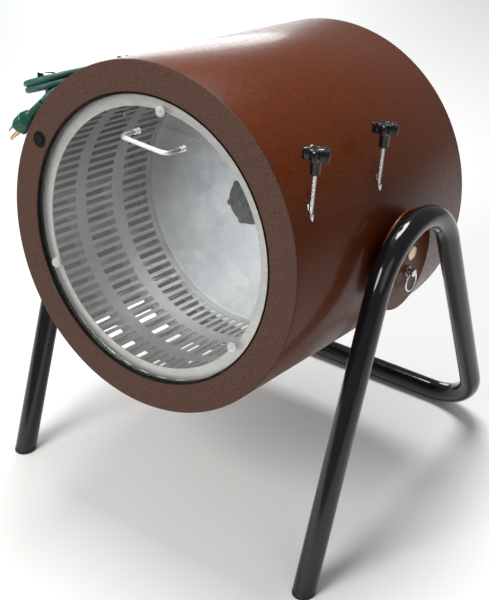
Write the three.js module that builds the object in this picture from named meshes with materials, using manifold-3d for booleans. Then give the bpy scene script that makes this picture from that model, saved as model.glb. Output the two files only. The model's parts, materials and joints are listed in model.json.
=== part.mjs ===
// Motor-driven rotary tumbler: a slotted drum in a round housing that tilts on a bent-tube stand.
// Millimetres, +Z up, the drum's mouth faces -Y, origin on the floor under the middle of the stand.
import * as THREE from 'three';
import { mergeVertices } from 'three/addons/utils/BufferGeometryUtils.js';
import Module from 'manifold-3d';

const wasm = await Module();
wasm.setup();

// ---- driving dimensions -------------------------------------------------------------------
const GAP = 0.3;                    // clearance between pieces that touch
const ROUND = 48;                   // facets on every large round piece

const TUBE_R = 15.875;              // stand tube, 1 1/4 inch outside diameter
const TUBE_BORE_R = 13.9;
const STAND_HALF_WIDTH = 260.2;     // middle plane to the centre line of a side frame
const STAND_BEND_R = 102.6;         // centre-line radius of the bend over each pivot
const STAND_BEND_AT = [-6.2, 349.2]; // centre of that bend, along y and z
const STAND_CORNER_R = 80;          // centre-line radius of the two rear corners
const FRONT_LEAN = THREE.MathUtils.degToRad(20.5);
const REAR_LEAN = THREE.MathUtils.degToRad(23.4);
const FOOT_CAP_H = 6;

const HOUSING_R = 229;
const HOUSING_L = 426;
const SHEET = 1.6;
const HOLE_R = 189.6;               // round hole in the front ring
const TILT = THREE.MathUtils.degToRad(7.5);

const PIVOT_Y = 16.3;               // tilt axis in the stand's frame
const PIVOT_Z = 393.2;
const PIVOT_ALONG = 256;            // the same axis, measured along and above the drum's axis
const PIVOT_ABOVE = -12;
const PLATE_R = 70;                 // round side plate between the stand tube and the housing
const PLATE_T = 4;
const PLATE_OFFSET = [-20, -2];     // plate centre from the tilt axis, along y and z
const LOCK_R = 25;                  // lock pin's distance from the tilt axis
const LOCK_ANGLE = THREE.MathUtils.degToRad(28.6);  // and how far forward of straight down
const RING_R = 13.5;                // pull ring, to the middle of its wire
const RING_WIRE = 1.6;

const DRUM_R = 181;
const DRUM_SHEET = 1.4;
const DRUM_FRONT = 12;
const DRUM_BACK = 226;
const FLANGE_IN_R = 171;
const DOOR_R = 186.6;
const DOOR_FRONT = 3.5;
const DOOR_T = 5.8;
const DOOR_CLOCK = THREE.MathUtils.degToRad(4);
const FASTENER_AT_R = 173;          // three door fasteners, on this radius
const HANDLE_Z = 136;
const HANDLE_HALF_SPAN = 36;
const HANDLE_DEPTH = 24;            // centre line of the grip, ahead of the front face
const HANDLE_R = 2.9;
const SHAFT_R = 9.5;
const BULKHEAD_Y = 240;
const MOTOR_PLATE_Y = 300;

const CRADLE_R = 199;
const RAIL_IN = 200.8;
const RAIL_OUT = 216.5;
const RAIL_T = 6;
const ROD_X = 210;
const ROD_YS = [44, 202];
const ROD_R = 3;
const STAR_R = 17.2;
const STAR_Z = [153.5, 166.5];
const HUB_Z = 135.5;

const CHUTE_HALF_WIDTH = 140;       // discharge opening under the drum
const CHUTE_Y = [50, 215];

const BUTTON_AT = [-185.2, 90.8];
const GLAND_AT = [-127.3, 109.2];
const CORD_R = 4.25;
const HANK_CENTRE = [-208.6, 155.5, 141.8];
const HANK_HALF_LENGTH = 105;
const HANK_TILT = THREE.MathUtils.degToRad(22);
const HANK_HALF_WIDTHS = [28.5, 37.5];
const HANK_HEIGHTS = [-4.4, 21.8];

// ---- materials ----------------------------------------------------------------------------
const paint = (color, roughness, metalness = 0) =>
  new THREE.MeshStandardMaterial({ color, roughness, metalness });
const BROWN = paint(0x5b3a2a, 0.42, 0.25);
const BLACK_GLOSS = paint(0x0c0c0e, 0.18, 0.1);
const BLACK_PLASTIC = paint(0x141416, 0.4);
const RUBBER = paint(0x1a1a1a, 0.8);
const STEEL = paint(0xb4b8ba, 0.32, 0.9);
const GALVANISED = paint(0xa6acb2, 0.45, 0.8);
const CAST = paint(0x4c4f52, 0.6, 0.6);
const YELLOW_ZINC = paint(0xc8b491, 0.35, 0.8);
const CLEAR = new THREE.MeshStandardMaterial({
  color: 0xdfe6e6, roughness: 0.08, transparent: true, opacity: 0.3,
});
const CORD_GREEN = paint(0x3c7369, 0.6);
const PLUG_GREEN = paint(0x1e5f50, 0.5);
const BRASS = paint(0xb08d4a, 0.3, 0.9);

// ---- solids -------------------------------------------------------------------------------
function toSolid(source) {
  const bare = source.clone();
  bare.deleteAttribute('normal');
  bare.deleteAttribute('uv');
  const merged = mergeVertices(bare, 1e-4);
  const at = merged.attributes.position;
  const corners = [new THREE.Vector3(), new THREE.Vector3(), new THREE.Vector3()];
  const kept = [];
  let volume = 0;
  for (let i = 0; i < merged.index.count; i += 3) {
    const triangle = [0, 1, 2].map((k) => merged.index.getX(i + k));
    if (new Set(triangle).size < 3) continue;
    triangle.forEach((v, k) => corners[k].fromBufferAttribute(at, v));
    volume += corners[0].dot(corners[1].clone().cross(corners[2]));
    kept.push(triangle);
  }
  const triVerts = kept.flatMap(([a, b, c]) => (volume > 0 ? [a, b, c] : [a, c, b]));
  return new wasm.Manifold(new wasm.Mesh({
    numProp: 3,
    vertProperties: new Float32Array(at.array),
    triVerts: new Uint32Array(triVerts),
  }));
}

function toGeometry(solid) {
  const { vertProperties, triVerts } = solid.getMesh();
  const geometry = new THREE.BufferGeometry();
  geometry.setAttribute('position', new THREE.BufferAttribute(new Float32Array(vertProperties), 3));
  geometry.setIndex(new THREE.BufferAttribute(new Uint32Array(triVerts), 1));
  geometry.computeVertexNormals();
  return geometry;
}

const cut = (solid, ...tools) => tools.reduce((left, tool) => left.subtract(tool), solid);
const join = (solid, ...others) => others.reduce((sum, other) => sum.add(other), solid);

// A piece turned about the Y axis. Its profile is [radius, y] pairs; one that starts on the axis
// ends on it, and any other is closed back to its first point.
function turned(profile, facets = ROUND) {
  const points = profile.map(([r, y]) => new THREE.Vector2(r, y));
  if (profile[0][0] > 0) points.push(points[0].clone());
  return toSolid(new THREE.LatheGeometry(points, facets));
}

const ring = (inner, outer, y0, y1, facets = ROUND) =>
  turned([[inner, y0], [outer, y0], [outer, y1], [inner, y1]], facets);
const disc = (radius, y0, y1, facets = ROUND) =>
  turned([[0, y0], [radius, y0], [radius, y1], [0, y1]], facets);

function block(x, y, z) {
  const size = [x, y, z].map(([low, high]) => high - low);
  const box = new THREE.BoxGeometry(...size);
  box.translate((x[0] + x[1]) / 2, (y[0] + y[1]) / 2, (z[0] + z[1]) / 2);
  return toSolid(box);
}

function rod(axis, radius, [low, high], across, facets = 20) {
  const geometry = new THREE.CylinderGeometry(radius, radius, high - low, facets);
  if (axis === 'x') geometry.rotateZ(-Math.PI / 2);
  if (axis === 'z') geometry.rotateX(Math.PI / 2);
  const middle = (low + high) / 2;
  const [u, v] = across;
  if (axis === 'x') geometry.translate(middle, u, v);
  if (axis === 'y') geometry.translate(u, middle, v);
  if (axis === 'z') geometry.translate(u, v, middle);
  return toSolid(geometry);
}

// Points along a polyline whose corners are rounded to the given radii.
function roundedPath(corners, steps = 8) {
  const path = [corners[0].at];
  for (let i = 1; i < corners.length - 1; i += 1) {
    const { at, r } = corners[i];
    const back = corners[i - 1].at.clone().sub(at).normalize();
    const ahead = corners[i + 1].at.clone().sub(at).normalize();
    const half = back.angleTo(ahead) / 2;
    const start = at.clone().addScaledVector(back, r / Math.tan(half));
    const middle = back.clone().add(ahead).normalize().multiplyScalar(r / Math.sin(half)).add(at);
    const axis = back.clone().cross(ahead).normalize();
    const turn = -(Math.PI - 2 * half);
    const arm = start.clone().sub(middle);
    for (let k = 0; k <= steps; k += 1) {
      path.push(arm.clone().applyAxisAngle(axis, (turn * k) / steps).add(middle));
    }
  }
  path.push(corners[corners.length - 1].at);
  return path;
}

// A round bar that follows a list of points, with a ring of facets at each of them.
function bar(path, radius, facets = 12) {
  const positions = [];
  const index = [];
  const tangents = path.map((point, i) => {
    const before = path[Math.max(i - 1, 0)];
    const after = path[Math.min(i + 1, path.length - 1)];
    return after.clone().sub(before).normalize();
  });
  const side = new THREE.Vector3(1, 0, 0);
  if (Math.abs(tangents[0].x) > 0.9) side.set(0, 0, 1);
  side.addScaledVector(tangents[0], -side.dot(tangents[0])).normalize();
  path.forEach((point, i) => {
    if (i > 0) {
      const turn = new THREE.Quaternion().setFromUnitVectors(tangents[i - 1], tangents[i]);
      side.applyQuaternion(turn);
    }
    for (let k = 0; k < facets; k += 1) {
      const arm = side.clone().applyAxisAngle(tangents[i], (2 * Math.PI * k) / facets);
      positions.push(...arm.multiplyScalar(radius).add(point).toArray());
    }
  });
  for (let i = 0; i + 1 < path.length; i += 1) {
    for (let k = 0; k < facets; k += 1) {
      const a = i * facets + k;
      const b = i * facets + ((k + 1) % facets);
      index.push(a, b, b + facets, a, b + facets, a + facets);
    }
  }
  const last = (path.length - 1) * facets;
  for (let k = 1; k + 1 < facets; k += 1) {
    index.push(0, k + 1, k, last, last + k, last + k + 1);
  }
  const geometry = new THREE.BufferGeometry();
  geometry.setAttribute('position', new THREE.Float32BufferAttribute(positions, 3));
  geometry.setIndex(index);
  return toSolid(geometry);
}

function add(name, solid, material, parent) {
  const mesh = new THREE.Mesh(toGeometry(solid), material);
  mesh.name = name;
  parent.add(mesh);
}

// ---- frames -------------------------------------------------------------------------------
const tumbler = new THREE.Group();

const tilted = new THREE.Group();
tilted.position.set(0, PIVOT_Y, PIVOT_Z);
tilted.rotation.x = -TILT;
tumbler.add(tilted);

const housing = new THREE.Group();     // y runs back from the front face, z = 0 on the drum's axis
housing.position.set(0, -PIVOT_ALONG, -PIVOT_ABOVE);
tilted.add(housing);

const door = new THREE.Group();
door.rotation.y = DOOR_CLOCK;
housing.add(door);

const SIDES = [['right', 1], ['left', -1]];
const mirrored = (solid, sign) => (sign > 0 ? solid : solid.mirror([1, 0, 0]));

// ---- stand --------------------------------------------------------------------------------
function standCorners() {
  const [bendY, bendZ] = STAND_BEND_AT;
  const tangent = (lean, sign) =>
    [bendY + sign * STAND_BEND_R * Math.cos(lean), bendZ + STAND_BEND_R * Math.sin(lean)];
  const front = tangent(FRONT_LEAN, -1);
  const rear = tangent(REAR_LEAN, 1);
  const rise = (rear[0] - front[0] + (rear[1] - front[1]) * Math.tan(REAR_LEAN))
    / (Math.tan(FRONT_LEAN) + Math.tan(REAR_LEAN));
  const footY = front[0] - front[1] * Math.tan(FRONT_LEAN);
  const rearY = rear[0] + (rear[1] - TUBE_R) * Math.tan(REAR_LEAN);
  const below = 60;                   // the legs start this far under the floor and are cut at it
  return {
    buried: [footY - below * Math.tan(FRONT_LEAN), -below],
    apex: [front[0] + rise * Math.tan(FRONT_LEAN), front[1] + rise],
    rearCorner: [rearY, TUBE_R],
  };
}

function addStand() {
  const { buried, apex, rearCorner } = standCorners();
  const sidePoint = (x, [y, z], r) => ({ at: new THREE.Vector3(x, y, z), r });
  const w = STAND_HALF_WIDTH;
  const path = roundedPath([
    sidePoint(-w, buried),
    sidePoint(-w, apex, STAND_BEND_R),
    sidePoint(-w, rearCorner, STAND_CORNER_R),
    sidePoint(w, rearCorner, STAND_CORNER_R),
    sidePoint(w, apex, STAND_BEND_R),
    sidePoint(w, buried),
  ]);
  const ground = block([-400, 400], [-400, 400], [-200, FOOT_CAP_H + GAP]);
  const frontHalf = block([-400, 400], [-400, 0], [-200, FOOT_CAP_H + GAP]);
  const tube = cut(bar(path, TUBE_R, 12), bar(path, TUBE_BORE_R, 8), frontHalf);
  add('stand_tube', tube, BLACK_GLOSS, tumbler);

  const bottom = block([-400, 400], [-400, 400], [0, 40]);
  for (const [side, sign] of SIDES) {
    const leg = [buried, apex].map(([y, z]) => new THREE.Vector3(sign * w, y, z));
    const cap = bar(leg, TUBE_R, 12).intersect(ground);
    const plug = bar(leg, TUBE_BORE_R - 1.2, 8);
    add(`foot_cap_${side}`, join(cap.intersect(block([-400, 400], [-400, 400], [0, FOOT_CAP_H])),
      plug.intersect(bottom)), BLACK_PLASTIC, tumbler);
  }
}

// ---- pivots and lock pins, in the stand's frame --------------------------------------------
function addPivots() {
  const plateOut = STAND_HALF_WIDTH - TUBE_R - GAP;
  const plateIn = plateOut - PLATE_T;
  const bossFace = plateIn - 3;
  const axis = [PIVOT_Y, PIVOT_Z];
  const pin = [
    PIVOT_Y - LOCK_R * Math.sin(LOCK_ANGLE),
    PIVOT_Z - LOCK_R * Math.cos(LOCK_ANGLE),
  ];
  const ringX = plateOut + 8;

  for (const [side, sign] of SIDES) {
    const put = (name, solid, material) =>
      add(`${name}_${side}`, mirrored(solid, sign), material, tumbler);

    const plateAt = [PIVOT_Y + PLATE_OFFSET[0], PIVOT_Z + PLATE_OFFSET[1]];
    put('pivot_plate', cut(
      rod('x', PLATE_R, [plateIn, plateOut], plateAt, 48),
      rod('x', 6.4, [plateIn - 1, plateOut + 1], axis, 16),
      rod('x', 3.5, [plateIn - 1, plateOut + 1], pin, 12),
    ), BROWN);

    put('pivot_washer', cut(
      rod('x', 19, [bossFace + GAP, plateIn - GAP], axis, 24),
      rod('x', 6.4, [bossFace - 1, plateIn + 1], axis, 16),
    ), BLACK_PLASTIC);

    const head = new THREE.LatheGeometry([[0, 0], [10.3, 0], [10.3, 1.2], [9, 2.4], [0, 2.8]]
      .map(([r, y]) => new THREE.Vector2(r, y)), 20);
    head.rotateZ(-Math.PI / 2);
    head.translate(plateOut + GAP, ...axis);
    put('pivot_bolt', join(
      toSolid(head),
      rod('x', 6, [218, plateOut + GAP + 1], axis, 16),
      rod('x', 10, [217, 225.5], axis, 6),
    ), YELLOW_ZINC);

    put('plunger_barrel', cut(
      rod('x', 7, [plateOut + GAP, plateOut + 3.5], pin, 6),
      rod('x', 3.4, [plateOut - 1, plateOut + 6], pin, 12),
    ), STEEL);

    const hoop = () => {
      const torus = new THREE.TorusGeometry(RING_R, RING_WIRE, 8, 24);
      torus.rotateY(Math.PI / 2);
      torus.translate(ringX, pin[0], pin[1] - RING_R);
      return toSolid(torus);
    };
    put('lock_pin', cut(join(
      rod('x', ROD_R, [plateIn - 1.5, plateOut + 5], pin, 12),
      rod('x', 5.4, [plateOut + 4, ringX + 5], pin, 16),
    ), rod('y', 3.1, [pin[0] - 10, pin[0] + 10], [ringX, pin[1]], 12)), STEEL);
    put('pull_ring', hoop(), STEEL);
  }
  return { bossFace };
}

// ---- housing ------------------------------------------------------------------------------
function addHousing(bossFace) {
  const inside = HOUSING_R - SHEET;
  const pivot = [PIVOT_ALONG, PIVOT_ABOVE];
  let shell = ring(inside, HOUSING_R, SHEET + GAP + 0.4, HOUSING_L - 2);
  shell = cut(shell, block([-CHUTE_HALF_WIDTH, CHUTE_HALF_WIDTH], CHUTE_Y, [-300, -100]));
  for (const x of [-ROD_X, ROD_X]) {
    for (const y of ROD_YS) shell = cut(shell, rod('z', 5.3, [50, 130], [x, y], 12));
  }
  shell = cut(shell, rod('x', 6.5, [-260, 260], pivot, 16));
  add('housing_shell', shell, BROWN, housing);

  const rim = inside - 0.4;
  add('front_ring', cut(turned([
    [HOLE_R, 0.6], [HOLE_R + 0.8, 0], [HOUSING_R - 1.4, 0], [HOUSING_R, 1.2], [HOUSING_R, SHEET + 0.4],
    [rim, SHEET + 0.4], [rim, 14], [rim - SHEET, 14], [rim - SHEET, SHEET], [HOLE_R + SHEET, SHEET],
    [HOLE_R + SHEET, 9], [HOLE_R, 9],
  ]), rod('y', 9.8, [-5, 10], BUTTON_AT, 20)), BROWN, housing);

  add('hole_trim', turned([
    [HOLE_R - 2, 0.4], [HOLE_R - 1.4, -0.6], [HOLE_R - GAP, -0.6], [HOLE_R - GAP, 10.5],
    [HOLE_R - 2, 10.5],
  ]), RUBBER, housing);

  let cover = turned([
    [0, HOUSING_L - 1.6], [rim - SHEET, HOUSING_L - 1.6], [rim - SHEET, 410], [rim, 410],
    [rim, HOUSING_L - 1.7], [HOUSING_R, HOUSING_L - 1.7], [HOUSING_R, HOUSING_L - 0.6],
    [HOUSING_R - 1.4, HOUSING_L], [0, HOUSING_L],
  ]);
  for (let i = -3; i <= 3; i += 1) {
    cover = cut(cover, block([i * 16 - 3, i * 16 + 3], [HOUSING_L - 8, HOUSING_L + 5], [-140, -80]));
  }
  cover = cut(cover, rod('y', 8.3, [HOUSING_L - 8, HOUSING_L + 5], GLAND_AT, 16));
  add('rear_cover', cover, BROWN, housing);
  add('cord_gland', cut(join(
    rod('y', 8, [HOUSING_L - 8, HOUSING_L + 10], GLAND_AT, 16),
    rod('y', 12, [HOUSING_L + GAP, HOUSING_L + 5], GLAND_AT, 6),
    rod('y', 10, [HOUSING_L - 12, HOUSING_L - 5], GLAND_AT, 6),
    rod('y', 6.6, [HOUSING_L + 9, HOUSING_L + 22], GLAND_AT, 16),
  ), rod('y', CORD_R + GAP, [HOUSING_L - 20, HOUSING_L + 30], GLAND_AT, 12)), BLACK_PLASTIC, housing);

  for (const [side, sign] of SIDES) {
    let boss = rod('x', 50, [195, bossFace], pivot, 40);
    boss = cut(boss, disc(HOUSING_R + GAP, 100, 400));
    boss = cut(boss, rod('x', 6.5, [190, 260], pivot, 16));
    for (let i = -2; i <= 2; i += 1) {
      const turn = TILT - LOCK_ANGLE + THREE.MathUtils.degToRad(22.5 * i);
      const hole = [pivot[0] + LOCK_R * Math.sin(turn), pivot[1] - LOCK_R * Math.cos(turn)];
      boss = cut(boss, rod('x', 3.6, [190, 260], hole, 8));
    }
    add(`pivot_boss_${side}`, mirrored(boss, sign), BROWN, housing);
  }
}

// ---- power button in the front ring ---------------------------------------------------------
function addButton() {
  const at = BUTTON_AT;
  add('button_switch', cut(join(
    rod('y', 9.5, [-0.8, 30], at, 20),
    rod('y', 11.4, [-1.6, -GAP], at, 20),
  ), rod('y', 7.6, [-5, 7], at, 20)), BLACK_PLASTIC, housing);
  add('power_button', rod('y', 7.2, [-2.6, 3.2], at, 20), RUBBER, housing);
}

// ---- drum, door and drive -------------------------------------------------------------------
function fastenerAt(i, from) {
  const angle = from + (i * 2 * Math.PI) / 3;
  return [FASTENER_AT_R * Math.sin(angle), FASTENER_AT_R * Math.cos(angle)];
}

function addDrum() {
  const outer = DRUM_R + DRUM_SHEET;
  add('drum_shell', ring(DRUM_R, outer, DRUM_FRONT, DRUM_BACK), STEEL, housing);

  let flange = ring(FLANGE_IN_R, DOOR_R, 9.7, DRUM_FRONT - GAP);
  const back = ring(SHAFT_R + GAP, outer, DRUM_BACK + GAP, DRUM_BACK + 2.3);
  add('drum_back_plate', back, GALVANISED, housing);

  add('drum_hub', turned([
    [0, 206], [12, 206], [18, 208], [20, 219], [32.5, 221], [32.5, DRUM_BACK],
    [SHAFT_R + GAP, DRUM_BACK], [SHAFT_R + GAP, 212], [0, 212],
  ], 32), CAST, housing);
  add('drum_shaft', disc(SHAFT_R, 212 + GAP, 276, 20), STEEL, housing);

  for (let i = 0; i < 3; i += 1) {
    const at = fastenerAt(i, DOOR_CLOCK);
    flange = cut(flange, rod('y', 3.4, [0, 20], at, 12));
  }
  add('drum_flange', flange, STEEL, housing);
}

function addDoor() {
  const back = DOOR_FRONT + DOOR_T;
  let pane = turned([
    [0, DOOR_FRONT], [DOOR_R - 1, DOOR_FRONT], [DOOR_R, DOOR_FRONT + 1], [DOOR_R, back], [0, back],
  ]);
  for (let i = 0; i < 3; i += 1) {
    const at = fastenerAt(i, 0);
    pane = cut(pane, rod('y', 3.4, [0, 20], at, 12));
    const dome = new THREE.LatheGeometry([[0, 0], [7, 0], [7, -1.6], [5.4, -3.8], [0, -4.6]]
      .map(([r, y]) => new THREE.Vector2(r, y)), 18);
    dome.translate(at[0], DOOR_FRONT - GAP, at[1]);
    add(`door_fastener_${i + 1}`, join(
      toSolid(dome),
      rod('y', 3, [DOOR_FRONT - 2, DRUM_FRONT - 0.6], at, 12),
    ), CLEAR, door);
  }

  const corner = (x, y, r) => ({ at: new THREE.Vector3(x, y, HANDLE_Z), r });
  const path = roundedPath([
    corner(-HANDLE_HALF_SPAN, DOOR_FRONT - GAP),
    corner(-HANDLE_HALF_SPAN, -HANDLE_DEPTH, 9),
    corner(HANDLE_HALF_SPAN, -HANDLE_DEPTH, 9),
    corner(HANDLE_HALF_SPAN, DOOR_FRONT - GAP),
  ], 5);
  let handle = bar(path, HANDLE_R, 10);
  for (const x of [-HANDLE_HALF_SPAN, HANDLE_HALF_SPAN]) {
    const at = [x, HANDLE_Z];
    pane = cut(pane, rod('y', 2.4, [0, 20], at, 12));
    handle = join(handle,
      rod('y', 2.1, [DOOR_FRONT - 1, back + 1], at, 12),
      rod('y', 4.4, [back + GAP, back + 2.6], at, 16));
  }
  add('door_handle', handle, STEEL, door);
  add('door_pane', pane, CLEAR, door);
}

function addDrive() {
  const inner = HOUSING_R - SHEET - 0.4;
  const bearingR = 32;
  add('bulkhead', turned([
    [13, BULKHEAD_Y], [inner, BULKHEAD_Y], [inner, BULKHEAD_Y + 5], [inner - 2, BULKHEAD_Y + 5],
    [inner - 2, BULKHEAD_Y + 2], [13, BULKHEAD_Y + 2],
  ]), GALVANISED, housing);
  add('shaft_bearing', turned([
    [SHAFT_R + GAP, BULKHEAD_Y + 2.3], [bearingR, BULKHEAD_Y + 2.3], [bearingR, BULKHEAD_Y + 8],
    [20, BULKHEAD_Y + 10], [20, BULKHEAD_Y + 20], [SHAFT_R + GAP, BULKHEAD_Y + 20],
  ], 28), CAST, housing);
  add('shaft_coupling', turned([
    [SHAFT_R + GAP, 262.5], [15, 262.5], [15, 294], [7.3, 294], [7.3, 277], [SHAFT_R + GAP, 277],
  ], 20), STEEL, housing);
  add('motor_shaft', disc(7, 277 + GAP, 318, 16), STEEL, housing);
  const post = 70;
  let plate = block([-95, 95], [MOTOR_PLATE_Y, MOTOR_PLATE_Y + 4], [-85, 85]);
  plate = cut(plate, rod('y', 9, [MOTOR_PLATE_Y - 1, MOTOR_PLATE_Y + 5], [0, 0], 16));
  for (const x of [-post, post]) {
    for (const z of [-post, post]) {
      plate = join(plate, rod('y', 6, [BULKHEAD_Y + 2.3, MOTOR_PLATE_Y + 1], [x, z], 6));
    }
  }
  add('motor_plate', plate, GALVANISED, housing);
  let gearbox = block([-48, 48], [MOTOR_PLATE_Y + 4.3, 348], [-42, 62]);
  gearbox = cut(gearbox, rod('y', 7.4, [MOTOR_PLATE_Y, 330], [0, 0], 16));
  add('gearbox', gearbox, CAST, housing);
  add('motor', turned([
    [0, 348.3], [36, 348.3], [44, 352], [44, 392], [36, 400], [14, 400], [14, 404], [0, 404],
  ], 28), CAST, housing);
}

// ---- sieve cradle under the drum, hung on four threaded rods ---------------------------------
function addCradle() {
  const y = [14, 226];
  const tray = ring(CRADLE_R, CRADLE_R + 1.5, ...y);
  add('sieve_cradle', tray.intersect(block([-300, 300], [0, 300], [-300, -GAP])), STEEL, housing);
  for (const [side, sign] of SIDES) {
    let rail = block([RAIL_IN, RAIL_OUT], y, [-RAIL_T, 0]);
    for (const at of ROD_YS) rail = cut(rail, rod('z', 3.4, [-20, 20], [ROD_X, at], 12));
    add(`cradle_rail_${side}`, mirrored(rail, sign), STEEL, housing);
  }
}

function starSolid() {
  const lobes = 5;
  const outline = new THREE.Shape();
  for (let i = 0; i < lobes * 6; i += 1) {
    const angle = (i * 2 * Math.PI) / (lobes * 6);
    const r = STAR_R - 3.2 + 3.2 * Math.cos(lobes * angle);
    const point = [r * Math.cos(angle), r * Math.sin(angle)];
    if (i === 0) outline.moveTo(...point);
    else outline.lineTo(...point);
  }
  const star = new THREE.ExtrudeGeometry(outline, { depth: STAR_Z[1] - STAR_Z[0], bevelEnabled: false });
  star.translate(0, 0, STAR_Z[0]);
  return cut(
    join(toSolid(star), rod('z', 7, [HUB_Z, STAR_Z[0] + 1], [0, 0], 16)),
    rod('z', ROD_R + GAP, [HUB_Z - 1, STAR_Z[0] + 5], [0, 0], 10),
  );
}

function addAdjusters() {
  const star = starSolid();
  const places = ['front', 'rear'];
  for (const [side, sign] of SIDES) {
    ROD_YS.forEach((y, i) => {
      const x = sign * ROD_X;
      const label = `${places[i]}_${side}`;
      add(`star_knob_${label}`, star.translate([x, y, 0]), BLACK_PLASTIC, housing);
      add(`adjuster_rod_${label}`, join(
        rod('z', ROD_R, [-15, STAR_Z[0] + 4], [x, y], 10),
        rod('z', 5.2, [-RAIL_T - 5, -RAIL_T - GAP], [x, y], 6),
        rod('z', 5.2, [GAP, 5], [x, y], 6),
      ), STEEL, housing);
    });
  }
}

// ---- mains cord: from the gland, wound over the two left knobs, with its plug at the front ----
function addCord() {
  const [inner, outer] = HANK_HALF_WIDTHS;
  const outline = (w) => {
    const shape = new THREE.Shape();
    shape.absarc(0, HANK_HALF_LENGTH, w, 0, Math.PI);
    shape.absarc(0, -HANK_HALF_LENGTH, w, Math.PI, 2 * Math.PI);
    return shape;
  };
  const stadium = outline(outer);
  stadium.holes.push(outline(inner));
  const depth = HANK_HEIGHTS[1] - HANK_HEIGHTS[0];
  const hank = new THREE.ExtrudeGeometry(stadium, { depth, bevelEnabled: false, curveSegments: 10 });
  hank.translate(0, 0, HANK_HEIGHTS[0]);
  hank.rotateY(-HANK_TILT);
  hank.translate(...HANK_CENTRE);
  add('cord_hank', toSolid(hank), CORD_GREEN, housing);

  const rearRun = new THREE.CatmullRomCurve3([
    [-127.3, 449, 109.2], [-131.5, 468, 112.7], [-141.6, 481, 121.3], [-155, 484.5, 132.9],
    [-168.4, 479, 144.4], [-176.9, 466, 151.7], [-179.8, 448, 154.2], [-180.6, 420, 155.6],
    [-181.6, 380, 159.2], [-183.4, 335, 165.9], [-184.5, 290, 170.3],
  ].map((p) => new THREE.Vector3(...p)));
  add('cord_rear_run', bar(rearRun.getSpacedPoints(30), CORD_R, 8), CORD_GREEN, housing);

  const tail = new THREE.CatmullRomCurve3([
    [-178, 25, 154.2], [-179.3, 18, 152.1], [-182.9, 12.5, 147.2], [-188.6, 9.6, 139.2],
  ].map((p) => new THREE.Vector3(...p)));
  add('cord_tail', bar(tail.getSpacedPoints(5), CORD_R, 8), CORD_GREEN, housing);

  // plug axis: from the strain relief's mouth down along the housing's side
  const mouth = new THREE.Vector3(-189, 9.4, 138.6);
  const along = new THREE.Vector3(-0.68, -0.05, -0.73).normalize();
  const place = (geometry, distance) => {
    const turn = new THREE.Quaternion().setFromUnitVectors(new THREE.Vector3(0, 1, 0), along);
    geometry.applyQuaternion(turn);
    geometry.translate(...mouth.clone().addScaledVector(along, distance).toArray());
    return toSolid(geometry);
  };
  const lathe = (profile, facets) => new THREE.LatheGeometry(
    profile.map(([r, y]) => new THREE.Vector2(r, y)), facets);
  add('strain_relief', place(lathe([[0, 0], [4.8, 0], [6, 28], [0, 28]], 12), GAP), PLUG_GREEN, housing);
  add('plug_body', place(lathe([[0, 0], [8, 0], [11.5, 9], [11.5, 27], [10.5, 30], [0, 30]], 16),
    28 + 2 * GAP), PLUG_GREEN, housing);
  const bladeStart = 58 + 3 * GAP;
  const blade = (x, z, size, name) => {
    const box = new THREE.BoxGeometry(...size);
    box.translate(x, size[1] / 2, z);
    add(name, place(box, bladeStart), BRASS, housing);
  };
  blade(-6.3, 3, [1.5, 16, 6.3], 'plug_blade_1');
  blade(6.3, 3, [1.5, 16, 6.3], 'plug_blade_2');
  const pin = new THREE.CylinderGeometry(2.4, 2.4, 19, 12);
  pin.translate(0, 9.5, -8);
  add('plug_ground_pin', place(pin, bladeStart), BRASS, housing);
}

addStand();
const { bossFace } = addPivots();
addHousing(bossFace);
addButton();
addDrum();
addDoor();
addDrive();
addCradle();
addAdjusters();
addCord();

export default tumbler;
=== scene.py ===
import json
import math

import bmesh
import bpy
import numpy as np
from mathutils import Matrix, Vector

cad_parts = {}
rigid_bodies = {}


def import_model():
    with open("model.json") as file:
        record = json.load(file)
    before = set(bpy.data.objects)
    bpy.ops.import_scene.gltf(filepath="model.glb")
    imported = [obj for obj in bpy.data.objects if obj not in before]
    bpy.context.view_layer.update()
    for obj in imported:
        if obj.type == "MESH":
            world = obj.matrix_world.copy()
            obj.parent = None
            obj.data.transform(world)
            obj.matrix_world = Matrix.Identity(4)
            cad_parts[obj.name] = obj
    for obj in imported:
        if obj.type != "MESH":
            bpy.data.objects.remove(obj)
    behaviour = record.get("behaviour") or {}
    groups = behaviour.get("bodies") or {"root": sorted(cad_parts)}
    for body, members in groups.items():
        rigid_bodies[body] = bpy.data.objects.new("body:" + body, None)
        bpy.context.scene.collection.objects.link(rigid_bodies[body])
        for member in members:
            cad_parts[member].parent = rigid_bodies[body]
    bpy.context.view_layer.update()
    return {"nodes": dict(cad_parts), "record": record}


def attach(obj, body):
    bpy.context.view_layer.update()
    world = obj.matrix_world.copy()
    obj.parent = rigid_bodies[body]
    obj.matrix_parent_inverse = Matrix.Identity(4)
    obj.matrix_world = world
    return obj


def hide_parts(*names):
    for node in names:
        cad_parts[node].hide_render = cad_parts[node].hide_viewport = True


for leftover in list(bpy.data.objects):
    bpy.data.objects.remove(leftover)
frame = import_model()

TAU = 2 * math.pi

# ---- frames: lengths below are in millimetres, and these matrices take them to metres ----------
MM = Matrix.Scale(0.001, 4)
TILT = math.radians(7.5)
PIVOT_AT = (16.3, 393.2)    # y and z of the tilt axis
STAND = MM
HOUSING = (
    MM
    @ Matrix.Translation((0, *PIVOT_AT))
    @ Matrix.Rotation(-TILT, 4, "X")
    @ Matrix.Translation((0, -256, 12))
)
DOOR = HOUSING @ Matrix.Rotation(math.radians(4), 4, "Y")

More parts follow.
